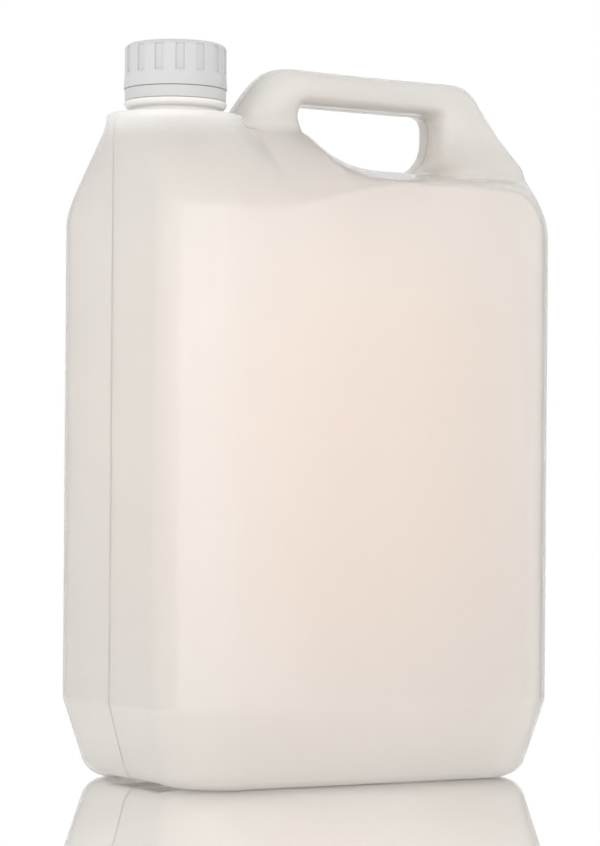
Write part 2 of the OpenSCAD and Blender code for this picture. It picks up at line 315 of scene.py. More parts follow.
def mapped(
    tree: Tree,
    value: Socket,
    source: Pair = (0.0, 1.0),
    target: tuple[float | Socket, float | Socket] = (0.0, 1.0),
    eased: bool = False,
) -> Socket:
    """Maps a value from one range to another.

    Args:
        tree: The node tree.
        value: The value's socket.
        source: Both ends of its own range.
        target: Both ends of the new range, as numbers or sockets.
        eased: Whether the map starts and ends softly.

    Returns:
        The mapped value's socket.
    """
    settings: dict[str, object] = {"From Min": source[0], "From Max": source[1]}
    if eased:
        settings["interpolation_type"] = "SMOOTHSTEP"
    links = {"Value": value}
    for name, end in zip(("To Min", "To Max"), target):
        (links if isinstance(end, Socket) else settings)[name] = end
    return add_node(tree, "MapRange", settings, links).outputs["Result"]


def noise(tree: Tree, place: Socket, size_mm: float, detail: float, roughness: float = 0.5) -> Socket:
    """Makes soft noise.

    Args:
        tree: The node tree.
        place: The coordinates.
        size_mm: How large its patches are, in millimetres.
        detail: How many finer layers it has.
        roughness: How strong these are.

    Returns:
        The noise's socket.
    """
    settings = {"Scale": 1 / (size_mm * MM), "Detail": detail, "Roughness": roughness}
    return add_node(tree, "TexNoise", settings, {"Vector": place}).outputs["Fac"]


def bumps(tree: Tree, height: Socket, strength: float, depth_mm: float) -> Socket:
    """Returns the normals of a surface that a height roughens, as deep as some millimetres."""
    settings = {"Strength": strength, "Distance": depth_mm * MM}
    return add_node(tree, "Bump", settings, {"Height": height}).outputs["Normal"]


def times(tree: Tree, a: Socket, b: Socket) -> Socket:
    """Returns the product of two sockets."""
    return add_node(tree, "Math", {"operation": "MULTIPLY"}, {0: a, 1: b}).outputs["Value"]


def plus(tree: Tree, a: Socket, b: Socket) -> Socket:
    """Returns the sum of two sockets, at most 1."""
    return add_node(tree, "Math", {"operation": "ADD", "use_clamp": True}, {0: a, 1: b}).outputs["Value"]


def new_tree(name: str) -> tuple[bpy.types.Material, Tree, bpy.types.Node]:
    """Makes an empty node material, and returns it with its tree and its output node."""
    material = bpy.data.materials.new(name)
    material.use_nodes = True
    tree = material.node_tree
    tree.nodes.clear()
    return material, tree, add_node(tree, "OutputMaterial")


def dress(piece: Piece, material: bpy.types.Material, smooth_deg: float | None = None) -> None:
    """Gives a piece one material in its only slot.

    Args:
        piece: The piece.
        material: Its material.
        smooth_deg: The sharpest edge that is shaded smooth, in degrees, or none for flat faces.
    """
    if smooth_deg:
        make_active(piece)
        bpy.ops.object.shade_smooth_by_angle(angle=math.radians(smooth_deg))
    piece.data.materials.clear()
    piece.data.materials.append(material)


@dataclass(frozen=True)
class NaturalPolyethylene:
    """Blow-moulded natural HDPE: milky and letting some light through, with a painted warm glow in the
    middle of the wide faces and a cooler tint towards the edges.
    """

    # Painted light: the warm tint paints a glow of light through the wall, and the cool one is where that
    # glow fades towards the edges.
    cool_edge_tint: str = "EFECE8"
    painted_glow_tint: str = "F3E8E0"
    share_through: float = 0.7
    share_at_handle: float = 0.5
    share_at_neck: float = 0.1
    neck_to_handle: Pair = (-0.043, -0.037)
    body_to_top: Pair = (0.26, 0.279)
    ior: float = 1.25
    cloud_mm: float = 38.0
    peel_mm: float = 2.2
    roughness: float = 0.55

    def material(self) -> bpy.types.Material:
        """Makes the finish."""
        material, tree, out = new_tree("natural blow-moulded polyethylene")
        place = add_node(tree, "TexCoord").outputs["Object"]
        cloud = noise(tree, place, self.cloud_mm, 3.0)
        # The base colour paints light: warm where the glow through the wall is painted, cooler towards the
        # edges.
        tint = add_node(
            tree,
            "Mix",
            {"data_type": "RGBA", "A": linear(self.cool_edge_tint), "B": linear(self.painted_glow_tint)},
            {"Factor": self.painted_glow_mask(tree, place, cloud)},
        )
        normal = bumps(tree, noise(tree, place, self.peel_mm, 2.0, 0.55), 0.18, 0.08)
        gloss = mapped(tree, cloud, target=(self.roughness - 0.05, self.roughness + 0.07))
        apart = add_node(tree, "SeparateXYZ", None, {"Vector": place})
        top_shares = (self.share_at_neck, self.share_at_handle)
        top_share = mapped(tree, apart.outputs["X"], self.neck_to_handle, top_shares)
        shares = (self.share_through, top_share)
        through = mapped(tree, apart.outputs["Z"], self.body_to_top, shares, eased=True)
        shader = add_node(
            tree,
            "BsdfPrincipled",
            {"IOR": self.ior, "Coat Weight": 1.0, "Coat Roughness": 0.08, "Coat IOR": 1.5},
            {
                "Base Color": tint.outputs["Result"],
                "Roughness": gloss,
                "Transmission Weight": through,
                "Normal": normal,
            },
        )
        tree.links.new(shader.outputs["BSDF"], out.inputs["Surface"])
        return material

    def painted_glow_mask(self, tree: Tree, place: Socket, cloud: Socket) -> Socket:
        """Maps the painted warm glow of light through the wall: the middle of the wide faces.

        Args:
            tree: The node tree.
            place: The object coordinates.
            cloud: A soft cloud that breaks the map up.

        Returns:
            A socket from 0, the cool edge tint, to 1, the painted warm glow.
        """
        apart = add_node(tree, "SeparateXYZ", None, {"Vector": place})
        across = add_node(tree, "Math", {"operation": "ABSOLUTE"}, {0: apart.outputs["X"]})
        result = mapped(tree, cloud, (0.2, 0.6), (0.8, 1.0))
        sideways, height = across.outputs["Value"], apart.outputs["Z"]
        # Painted glow: warm in the middle across X and in height, fading towards the ends, the base and the
        # top.
        for value, cool_at, glow_at in ((sideways, 0.105, 0.02), (height, -0.02, 0.1), (height, 0.3, 0.16)):
            result = times(tree, result, mapped(tree, value, (cool_at, glow_at), eased=True))
        return result


@dataclass(frozen=True)
class MouldedPolypropylene:
    """Injection-moulded white polypropylene with the fine spark texture of its mould."""

    colour: str = "C2C3C2"
    spark_mm: float = 0.5
    cloud_mm: float = 6.25
    roughness: float = 0.34

    def material(self) -> bpy.types.Material:
        """Makes the finish."""
        material, tree, out = new_tree("white injection-moulded polypropylene")
        place = add_node(tree, "TexCoord").outputs["Object"]
        normal = bumps(tree, noise(tree, place, self.spark_mm, 2.0), 0.12, 0.03)
        cloud = noise(tree, place, self.cloud_mm, 2.0)
        gloss = mapped(tree, cloud, target=(self.roughness - 0.04, self.roughness + 0.08))
        shader = add_node(
            tree,
            "BsdfPrincipled",
            {
                "Base Color": linear(self.colour),
                "IOR": 1.49,
                "Subsurface Weight": 0.15,
                "Subsurface Radius": (1.0, 1.0, 1.0),
                "Subsurface Scale": 0.0008,
            },
            {"Roughness": gloss, "Normal": normal},
        )
        tree.links.new(shader.outputs["BSDF"], out.inputs["Surface"])
        return material


@dataclass(frozen=True)
class ClosedCellFoam:
    """Expanded polyethylene liner board, matt with fine closed cells."""

    colour: str = "E4E3DF"
    cell_mm: float = 0.6

    def material(self) -> bpy.types.Material:
        """Makes the finish."""
        material, tree, out = new_tree("closed-cell foam")
        place = add_node(tree, "TexCoord").outputs["Object"]
        cells = add_node(tree, "TexVoronoi", {"Scale": 1 / (self.cell_mm * MM)}, {"Vector": place})
        normal = bumps(tree, cells.outputs["Distance"], 0.4, 0.1)
        shader = add_node(
            tree,
            "BsdfPrincipled",
            {"Base Color": linear(self.colour), "Roughness": 0.8},
            {"Normal": normal},
        )
        tree.links.new(shader.outputs["BSDF"], out.inputs["Surface"])
        return material


# The screw thread


@dataclass
class Thread:
    """A thread on a round wall, with ends that run out."""

    name: str
    wall_r: float
    start_z: float
    turns: float
    outward: int = 1
    pitch: float = 4.2
    depth: float = 1.25
    sunk: float = 0.4
    foot_half: float = 0.85
    flank_half: float = 0.55
    crest_half: float = 0.35
    steps_per_turn: int = 72
    run_out: float = 0.12

    def wind(self) -> Piece:
        """Winds the thread, sunk a little into its wall."""
        turns = np.linspace(0, self.turns, int(self.steps_per_turn * self.turns) + 1)
        ease = smooth(np.minimum(turns, self.turns - turns) / self.run_out)
        crest = self.wall_r + self.outward * mix(-0.15, self.depth, ease)
        flank = crest - self.outward * 0.2
        root = np.full_like(crest, self.wall_r - self.outward * self.sunk)
        half = [(root, self.foot_half), (flank, self.flank_half), (crest, self.crest_half)]
        section = [(radius, -height) for radius, height in half] + half[::-1]
        angle = 2 * math.pi * turns
        rise = self.start_z + self.pitch * turns
        rows = [
            np.column_stack([NECK_X + radius * np.cos(angle), radius * np.sin(angle), rise + height])
            for radius, height in section
        ]
        return shaped_sheet(self.name, np.array(rows).transpose(1, 0, 2))


# The blown shell


@dataclass
class Shell:
    """The blow-moulded body with its handle, pad and neck, as one hollow piece."""

    width: float = 188.0
    depth: float = 126.0
    corner_r: float = 28.0
    wall: float = 1.0
    shoulder_z: float = 232.0
    taper_z: float = 33.0
    taper_round: float = 2.4
    taper_inset: float = 9.2
    base_r: float = 10.0
    channel_width: float = 46.0
    channel_height: float = 1.6
    channel_slope: float = 12.0
    channel_over: float = 8.0
    deck_z: float = 256.5
    panel_z: float = 247.0
    end_break_z: float = 227.0
    crown_half: float = 22.0
    ledge: Pair = (3.0, 0.5)
    foot_drop: float = 2.0
    rounds: tuple[float, float, float, float] = (0.26, 0.12, 0.3, 0.42)
    rise_start: float = 27.0
    rise_end: float = -9.5
    handle_z: float = 298.5
    bar_height: float = 14.6
    bar_width: float = 24.0
    gap_left: float = -9.5
    gap_right: float = 60.0
    foot_half: float = 38.0
    foot_r: float = 13.0
    bar_square: float = 0.62
    foot_square: float = 0.42
    pad_r: float = 28.5
    pad_z: float = 275.5
    mound_z: float = 271.3
    mound_over: float = 0.3
    neck_r: float = 17.6
    neck_foot_r: float = 18.2
    mouth_r: float = 15.4
    neck_top: float = 302.0
    collar_r: float = 21.4
    collar_z: float = 278.1
    collar_height: float = 3.1
    band_top: float = 285.75
    bead_r: float = 19.2
    thread_z: float = 291.2
    thread_turns: float = 2.0
    voxel: float = 1.25
    kept_faces: float = 0.48
    kept_inside: float = 0.2
    seam_half: float = 0.3
    seam_thick: float = 0.8
    bore_r: float = 16.6
    bore_length: float = 24.0
    corner_steps: int = 24
    side_steps: int = 66
    end_steps: int = 14
    shoulder_steps: int = 26
    floor_steps: int = 27
    base_steps: int = 12
    taper_steps: int = 8
    crown_steps: int = 13
    station_steps: int = 7
    section_steps: int = 64
    finish: NaturalPolyethylene = field(default_factory=NaturalPolyethylene)

    def outline(self, inset: float, corner_in: float) -> np.ndarray:
        """Traces the front half of the body's plan, from the neck end's tip to the other one.

        Args:
            inset: How far the outline is set in.
            corner_in: How much smaller the corner's radius is.

        Returns:
            X and Y of each point.
        """
        w, d, r = self.width / 2 - inset, self.depth / 2 - inset, self.corner_r - corner_in
        points = [(-w, -(d - r) * i / self.end_steps) for i in range(self.end_steps)]
        for i in range(self.corner_steps + 1):
            a = math.pi * (1 + 0.5 * i / self.corner_steps)
            points.append((-w + r + r * math.cos(a), -d + r + r * math.sin(a)))
        points += [(mix(-w + r, w - r, i / self.side_steps), -d) for i in range(1, self.side_steps)]
        for i in range(self.corner_steps + 1):
            a = math.pi * (1.5 + 0.5 * i / self.corner_steps)
            points.append((w - r + r * math.cos(a), -d + r + r * math.sin(a)))
        points += [(w, -(d - r) * (1 - i / self.end_steps)) for i in range(1, self.end_steps + 1)]
        return np.array(points)

    def foot_share(self, x: np.ndarray) -> np.ndarray:
        """Gives how far the deck has turned from its crown, at 0, into the far leg's foot, at 1."""
        return smooth((x - self.gap_right) / 30 + 0.6)

    def ridge_z(self, x: np.ndarray) -> np.ndarray:
        """Gives the height of the recess behind the finger gap and of the deck that falls to the far leg."""
        t = np.clip((self.rise_start - x) / (self.rise_start - self.rise_end), 0, 1)
        return mix(self.deck_z, self.mound_z, t**2) - self.foot_drop * self.foot_share(x)

    def ridge_half(self, x: np.ndarray) -> np.ndarray:
        """Gives the half width of the ridge on which handle and deck lie."""
        along = x - self.rise_end
        near = self.bar_width / 2 + mix(*self.ledge, smooth((along + 12) / 20))
        crown = mix(near, self.crown_half, smooth((along - 14) / (self.rise_start - self.rise_end - 12)))
        foot = mix(crown, self.foot_half, self.foot_share(x))
        mound_r = self.pad_r + self.mound_over
        circle = np.sqrt(np.maximum(0, mound_r**2 - (x - NECK_X) ** 2))
        power = 6
        return (foot**power + circle**power) ** (1 / power)

    def ridge(self) -> np.ndarray:
        """Traces the front half of the ridge in X, Y and Z, with as many points as the outline."""
        turn = self.end_steps + self.corner_steps
        end_r, tip, mound_r = self.foot_r, self.width / 2 - 1, self.pad_r + self.mound_over
        low, straight = self.deck_z - self.foot_drop, self.foot_half - self.foot_r
        points = []
        for i in range(turn + 1):
            a = math.pi * (1 + 0.5 * i / turn)
            points.append((NECK_X + mound_r * math.cos(a), mound_r * math.sin(a), self.mound_z))
        for i in range(1, self.side_steps):
            x = mix(NECK_X, tip - end_r, i / self.side_steps)
            points.append((x, -float(self.ridge_half(np.float64(x))), float(self.ridge_z(np.float64(x)))))
        for i in range(self.corner_steps + 1):
            a = math.pi * (1.5 + 0.5 * i / self.corner_steps)
            points.append((tip - end_r + end_r * math.cos(a), end_r * math.sin(a) - straight, low))
        points += [(tip, -straight * (1 - i / self.end_steps), low) for i in range(1, self.end_steps + 1)]
        return np.array(points)

    def break_z(self, x: np.ndarray) -> np.ndarray:
        """Gives the height at which the upright walls end."""
        rise = smooth((x - NECK_X - 4) / (self.rise_end + 16 - NECK_X))
        drop = smooth((x - self.width / 2 + self.corner_r + 6) / (self.corner_r + 6))
        return mix(self.shoulder_z, self.panel_z, rise) - (self.panel_z - self.end_break_z) * drop

    def roundness(self, x: np.ndarray) -> np.ndarray:
        """Gives the share of the shoulder's height that is rounding, by neck, flank, deck and end."""
        neck, flank, deck, end = self.rounds
        share = mix(neck, flank, smooth((x - NECK_X) / (self.rise_end - NECK_X)))
        share = mix(share, deck, smooth((x - self.rise_end - 4) / (self.rise_start - self.rise_end)))
        return mix(share, end, smooth((x - self.gap_right) / (self.width / 2 - self.gap_right)))

    def body_form(self) -> Piece:
        """Wraps a sheet round the body, from the channel of the base to the ridge."""
        levels: list[np.ndarray] = []

        def level(inset: float, z: float, narrow: float = 1.0) -> None:
            """Adds one level row, set in and pulled towards the parting plane."""
            flat = self.outline(inset, inset / 2)
            levels.append(np.column_stack([flat[:, 0], flat[:, 1] * narrow, np.full(len(flat), z)]))

        lean = math.atan(self.taper_inset / self.taper_z)
        centre_in = self.taper_inset * (1 - self.base_r / self.taper_z) + self.base_r / math.cos(lean)
        for narrow in np.linspace(0, 1, self.floor_steps + 1)[:-1]:
            level(centre_in, 0, narrow)
        for a in np.linspace(math.pi / 2, lean, self.base_steps + 1):
            level(centre_in - self.base_r * math.cos(a), self.base_r - self.base_r * math.sin(a))
        for t in np.linspace(0, 1, self.taper_steps + 1):
            inset = self.taper_inset * self.taper_round * (1 - t) ** 2 / self.taper_z / 2
            level(inset, self.taper_z + self.taper_round * (t - 0.5))
        foot, ridge = self.outline(0, 0), self.ridge()
        low = self.break_z(foot[:, 0])
        bend = low + (ridge[:, 2] - low) * self.roundness(foot[:, 0])
        for t in np.linspace(0, 1, self.shoulder_steps + 1):
            a, b, c = (1 - t) ** 2, 2 * t * (1 - t), t * t
            xy = (a + b) * foot + c * ridge[:, :2]
            levels.append(np.column_stack([xy, a * low + b * bend + c * ridge[:, 2]]))
        for narrow in np.linspace(1, 0, self.crown_steps + 1)[1:]:
            levels.append(ridge * [1, narrow, 1])
        half = np.array(levels)
        back = half[:, -2:0:-1] * [1, -1, 1]
        rows = np.concatenate([half, back], axis=1)
        side = (self.channel_width / 2 + self.channel_over - np.abs(rows[:, :, 1])) / self.channel_slope
        rows[:, :, 2] = np.maximum(rows[:, :, 2], self.channel_height * smooth(side))
        return shaped_sheet("body form", rows)

    def handle_form(self) -> Piece:
        """Wraps a sheet round the handle, from one buried foot to the other."""
        b, e, g, h, l, r = (
            self.bar_width / 2,
            self.width / 2,
            self.handle_z - self.bar_height,
            self.handle_z,
            self.gap_left,
            self.gap_right,
        )
        deck, foot = self.deck_z, self.foot_half
        # Each station: X and Z of its outer edge, X and Z of its inner edge, and its half widths there
        stations = [
            (l - 31.5, self.mound_z - 5, l + 5, self.mound_z - 5, b + 2, b + 2),
            (l - 30, self.pad_z - 0.5, l + 2, self.pad_z - 2, b + 0.5, b + 0.5),
            (l - 26, self.pad_z + 5.8, l + 0.4, self.pad_z + 2, b - 0.3, b),
            (l - 21.6, h - 11.2, l, g - 4, b - 0.6, b),
            (l - 16.4, h - 5.2, l + 1, g - 1.6, b - 0.8, b),
            (l - 10.8, h - 1, l + 3.5, g - 0.3, b - 0.6, b),
            (l - 5, h + 0.4, l + 7, g, b - 0.3, b),
            (l + 5, h + 0.3, l + 13, g, b, b),
            (mix(l, r, 0.5), h, mix(l, r, 0.5), g, b, b),
            (r - 4, h, r - 14, g, b, b),
            (r + 8, h, r - 4.5, g, b, b),
            (e - 19.7, h - 1, r - 0.8, g - 1.4, b, b),
            (e - 14.1, h - 4.6, r + 0.4, g - 4.5, b, b),
            (e - 10, h - 10.5, r + 0.5, g - 9, b + 1, b),
            (e - 6.3, h - 17.5, r, g - 14, b + 5, b),
            (e - 3.8, h - 23.5, r - 1.8, mix(deck, g, 0.3), mix(b, foot, 0.38), b + 1),
            (e - 2, h - 29.4, r - 5.5, mix(deck, g, 0.15), mix(b, foot, 0.62), b + 3),
            (e - 1, h - 36.5, r - 12, deck + 1, mix(b, foot, 0.91), b + 5),
            (e - 0.7, deck - self.foot_drop, r - 20, deck - 3, foot + 0.4, b + 8),
            (e - 1.7, deck - 14, r - 20, deck - 14, foot - 1, b + 8),
        ]
        fine = spline(np.array(stations), self.station_steps)
        angles = np.linspace(0, 2 * math.pi, self.section_steps, endpoint=False)
        rows = []
        for ox, oz, ix, iz, outer_half, inner_half in fine:
            spread = np.clip((outer_half - b) / (foot - b), 0, 1)
            square = mix(self.bar_square, self.foot_square, spread**3)
            u = (1 + np.sign(np.cos(angles)) * np.abs(np.cos(angles)) ** square) / 2
            v = np.sign(np.sin(angles)) * np.abs(np.sin(angles)) ** square
            half = inner_half + (outer_half - inner_half) * u
            rows.append(np.column_stack([ix + (ox - ix) * u, v * half, iz + (oz - iz) * u]))
        return shaped_sheet("handle form", np.array(rows))

    def pad_form(self) -> Piece:
        """Turns the round pad under the neck."""
        rim, low = 0.9, self.mound_z - 6
        top = arc((self.pad_r - rim, self.pad_z - rim), rim, 0, 90, 4)
        return lathe("pad form", [(0, low), (self.pad_r, low), *top, (0, self.pad_z)])

    def neck(self) -> Piece:
        """Turns the neck with its collar and bead, and winds the thread on it."""
        r, top = self.neck_r, self.neck_top
        collar_top = self.collar_z + self.collar_height
        foot_r = self.neck_foot_r
        profile = [
            (self.mouth_r, self.pad_z - 1.4),
            (foot_r + 0.8, self.pad_z - 0.5),
            (foot_r + 0.8, self.pad_z - 0.05),
            *arc((foot_r + 0.8, self.pad_z + 0.8), 0.8, 270, 180, 4),
            (foot_r, self.collar_z - 0.3),
            *arc((self.collar_r - 2.5, self.collar_z + 2.4), 2.4, -85, 0, 8),
            (self.collar_r - 0.1, collar_top - 0.35),
            (self.collar_r - 0.4, collar_top),
            (r + 0.5, collar_top),
            (r, collar_top + 0.4),
            (r, self.band_top + 0.1),
            (self.bead_r - 0.2, self.band_top + 0.3),
            (self.bead_r, self.band_top + 0.45),
            (self.bead_r, self.band_top + 0.75),
            (self.bead_r - 0.25, self.band_top + 0.95),
            (r, self.band_top + 1.8),
            (r, top - 0.6),
            *arc((r - 0.6, top - 0.6), 0.6, 20, 90, 4),
            *arc((self.mouth_r + 0.5, top - 0.5), 0.5, 90, 180, 4),
        ]
        neck = lathe("neck", profile)
        combine(neck, Thread("thread", self.neck_r, self.thread_z, self.thread_turns).wind(), "UNION")
        return neck

    def outer_skin(self) -> Piece:
        """Fuses body, handle and pad and softens where they meet, as blowing does."""
        skin = join([self.body_form(), self.handle_form(), self.pad_form()])
        skin.name = "bottle_shell"
        apply_modifier(skin, "REMESH", mode="VOXEL", voxel_size=self.voxel * MM)
        soften(skin, fillet_rounds=240, all_rounds=0, zone=Zone(-38.0, 12.0, 7.0, 240.0, 8.0))
        soften(skin, fillet_rounds=14, all_rounds=1)
        apply_modifier(skin, "DECIMATE", ratio=self.kept_faces)
        return skin

    def hollow(self, skin: Piece) -> Piece:
        """Makes the hollow, one wall inside the closed skin and with fewer faces."""
        hollow = copied(skin, "hollow")
        apply_modifier(hollow, "DISPLACE", strength=-self.wall * MM, mid_level=0.0)
        apply_modifier(hollow, "DECIMATE", ratio=self.kept_inside)
        return hollow

    def seam(self, skin: Piece) -> Piece:
        """Lifts the line that the mould's halves leave all round, as a ribbon sunk into the skin."""
        ribbon = copied(skin, "seam")
        for side in (-1, 1):
            edit(ribbon, "VERT")
            bpy.ops.mesh.select_all(action="SELECT")
            border = (0, side * self.seam_half * MM, 0)
            bpy.ops.mesh.bisect(plane_co=border, plane_no=(0, side, 0), clear_outer=True)
            leave_edit()
        apply_modifier(ribbon, "SOLIDIFY", thickness=self.seam_thick * MM, offset=-0.5)
        return ribbon

    def build(self) -> Piece:
        """Makes the whole bottle."""
        skin = self.outer_skin()
        hollow = self.hollow(skin)
        combine(skin, self.pad_form(), "UNION")
        ribbon = self.seam(skin)
        combine(skin, hollow, "DIFFERENCE")
        deselect()
        bpy.ops.mesh.primitive_cylinder_add(
            vertices=96,
            radius=self.bore_r * MM,
            depth=self.bore_length * MM,
            location=(NECK_X * MM, 0, self.pad_z * MM),
        )
        combine(skin, added("bore"), "DIFFERENCE")
        combine(skin, self.neck(), "UNION")
        join([skin, ribbon])
        dress(skin, self.finish.material(), smooth_deg=38)
        return skin


def spline(points: np.ndarray, steps: int) -> np.ndarray:
    """Runs a smooth curve through rows of numbers.

    Args:
        points: One row for each station.
        steps: Number of steps between two stations.

    Returns:
        The finer rows.
    """
    padded = np.vstack([2 * points[0] - points[1], points, 2 * points[-1] - points[-2]])
    rows = []
    for k in range(1, len(padded) - 2):
        p0, p1, p2, p3 = padded[k - 1 : k + 3]
        for i in range(steps):
            t = i / steps
            square, cube = 2 * p0 - 5 * p1 + 4 * p2 - p3, 3 * p1 - p0 - 3 * p2 + p3
            rows.append(0.5 * (2 * p1 + (p2 - p0) * t + square * t**2 + cube * t**3))
    rows.append(points[-1])
    return np.array(rows)


@dataclass(frozen=True)
class Zone:
    """A stretch of a piece in millimetres, from start to end along X and upwards from low."""

    start: float
    end: float
    border: float
    low: float
    low_border: float

    def share(self, places: np.ndarray) -> np.ndarray:
        """Gives how far each place, in metres, lies inside, from 0 to 1."""
        x, z = places[:, :1] / MM, places[:, 2:] / MM
        along = smooth((x - self.start) / self.border) * smooth((self.end - x) / self.border)
        return along * smooth((z - self.low) / self.low_border)


def soften(
    piece: Piece,
    fillet_rounds: int,
    all_rounds: int,
    zone: Zone | None = None,
    hollow_from: float = 0.08,
    hollow_full: float = 0.3,
) -> None:
    """Relaxes a dense mesh: a little all over, and well where two forms meet in a hollow corner.

    Args:
        piece: The object with the dense mesh.
        fillet_rounds: Rounds of smoothing in the hollow corners.
        all_rounds: Rounds of smoothing everywhere.
        zone: The only stretch where hollow corners are smoothed, or none for the whole piece.
        hollow_from: How deep, in millimetres, a vertex lies between its neighbours where smoothing starts.
        hollow_full: How deep it lies where the smoothing is full.
    """
    mesh = piece.data
    count = len(mesh.vertices)
    edges = np.empty(len(mesh.edges) * 2, np.int32)
    mesh.edges.foreach_get("vertices", edges)
    a, b = edges[::2], edges[1::2]
    places = np.empty(count * 3, np.float64)
    mesh.vertices.foreach_get("co", places)
    places = places.reshape(-1, 3)
    normals = np.empty(count * 3, np.float32)
    mesh.vertex_normals.foreach_get("vector", normals)
    normals = normals.reshape(-1, 3)
    degree = np.bincount(a, minlength=count) + np.bincount(b, minlength=count)

    def around(values: np.ndarray) -> np.ndarray:
        """Averages each vertex's neighbours."""
        columns = [(values[a, k], values[b, k]) for k in range(values.shape[1])]
        sums = [np.bincount(a, at_b, count) + np.bincount(b, at_a, count) for at_a, at_b in columns]
        return np.column_stack(sums) / degree[:, None]

    inwards, outwards = 0.5, 0.51
    for _ in range(all_rounds):
        places = places + inwards * (around(places) - places)
        places = places - outwards * (around(places) - places)
    hollowness = np.sum((around(places) - places) * normals, axis=1)
    weight = np.clip((hollowness / MM - hollow_from) / (hollow_full - hollow_from), 0, 1)[:, None]
    for _ in range(4):
        weight = np.maximum(weight, 0.9 * around(weight))
    weight = np.clip(around(weight) * 1.3, 0, 1)
    if zone:
        for _ in range(3):
            weight = np.maximum(weight, around(weight))
        weight = weight * zone.share(places)
    for _ in range(fillet_rounds):
        places = places + inwards * weight * (around(places) - places)
    mesh.vertices.foreach_set("co", places.astype(np.float32).ravel())
    mesh.update()


# The closure


@dataclass
class ScrewCap:
    """The ribbed cap, one moulding with its thread inside."""

    radius: float = 21.1
    foot_r: float = 21.45
    bore_r: float = 19.25
    foot_bore_r: float = 19.6
    groove_r: float = 20.3
    z_top: float = 305.0
    z_foot: float = 286.42
    z_roof: float = 303.3
    z_groove: float = 292.44
    groove_length: float = 11.0
    rim_r: float = 2.6
    grooves: int = 15
    facets_per_groove: int = 12
    groove_facets: int = 5
    phase_deg: float = 6.0
    thread_z: float = 293.3
    thread_turns: float = 1.5
    finish: MouldedPolypropylene = field(default_factory=MouldedPolypropylene)

    def angle_in_pitch(self, x: float, y: float) -> float:
        """Gives the share of a groove's pitch at which a point in plan lies."""
        turn = math.degrees(math.atan2(y, x - NECK_X * MM)) - self.phase_deg
        return (turn / (360 / self.grooves) + 0.5) % 1

    def build(self) -> Piece:
        """Makes the cap."""
        facets = self.grooves * self.facets_per_groove
        height = self.z_top - self.z_foot
        deselect()
        bpy.ops.mesh.primitive_cylinder_add(
            vertices=facets,
            radius=self.radius * MM,
            depth=height * MM,
            location=(NECK_X * MM, 0, (self.z_top - height / 2) * MM),
            rotation=(0, 0, math.radians(self.phase_deg + 90 + 180 / facets)),
        )
        cap = added("screw_cap")
        finish_place(cap)
        mesh = edit(cap, "EDGE")
        pick(cap, mesh.edges, lambda e: all(v.co.z > (self.z_top - 0.1) * MM for v in e.verts))
        bpy.ops.mesh.bevel(offset=self.rim_r * MM, segments=7, profile=0.5)
        for z in (self.z_groove, self.z_groove + self.groove_length):
            bpy.ops.mesh.select_all(action="SELECT")
            bpy.ops.mesh.bisect(plane_co=(0, 0, z * MM), plane_no=(0, 0, 1))
        half = self.groove_facets / self.facets_per_groove / 2
        bpy.ops.mesh.select_mode(type="FACE")
        bpy.ops.mesh.select_all(action="DESELECT")
        mesh = bmesh.from_edit_mesh(cap.data)
        low, high = self.z_groove * MM, (self.z_groove + self.groove_length) * MM

        def in_groove(face: bmesh.types.BMFace) -> bool:
            """Says whether a side face lies in one of the grooves."""
            c = face.calc_center_median()
            inside = low < c.z < high and abs(self.angle_in_pitch(c.x, c.y) - 0.5) < half
            return inside and len(face.verts) == 4

        pick(cap, mesh.faces, in_groove)
        depth = self.radius - self.groove_r
        bpy.ops.mesh.extrude_region_shrink_fatten(TRANSFORM_OT_shrink_fatten={"value": -depth * MM})
        leave_edit()
        centre = NECK_X * MM
        for vertex in cap.data.vertices:
            if vertex.co.z < (self.z_foot + 0.1) * MM:
                vertex.co.x = centre + (vertex.co.x - centre) * self.foot_r / self.radius
                vertex.co.y *= self.foot_r / self.radius
        sharp = math.radians(40)
        apply_modifier(cap, "BEVEL", width=0.16 * MM, segments=2, limit_method="ANGLE", angle_limit=sharp)
        bore = lathe(
            "cap bore",
            [
                (0, self.z_foot - 1),
                (self.foot_bore_r + 0.3, self.z_foot - 1),
                (self.foot_bore_r + 0.3, self.z_foot),
                (self.foot_bore_r, self.z_foot + 0.3),
                (self.foot_bore_r, self.z_foot + 2.0),
                (self.bore_r, self.z_foot + 2.4),
                *arc((self.bore_r - 0.5, self.z_roof - 0.5), 0.5, 0, 90, 3),
                (0, self.z_roof),
            ],
            180,
        )
        combine(cap, bore, "DIFFERENCE")
        thread = Thread("cap thread", self.bore_r, self.thread_z, self.thread_turns, outward=-1)
        combine(cap, thread.wind(), "UNION")
        dress(cap, self.finish.material(), smooth_deg=32)
        return cap


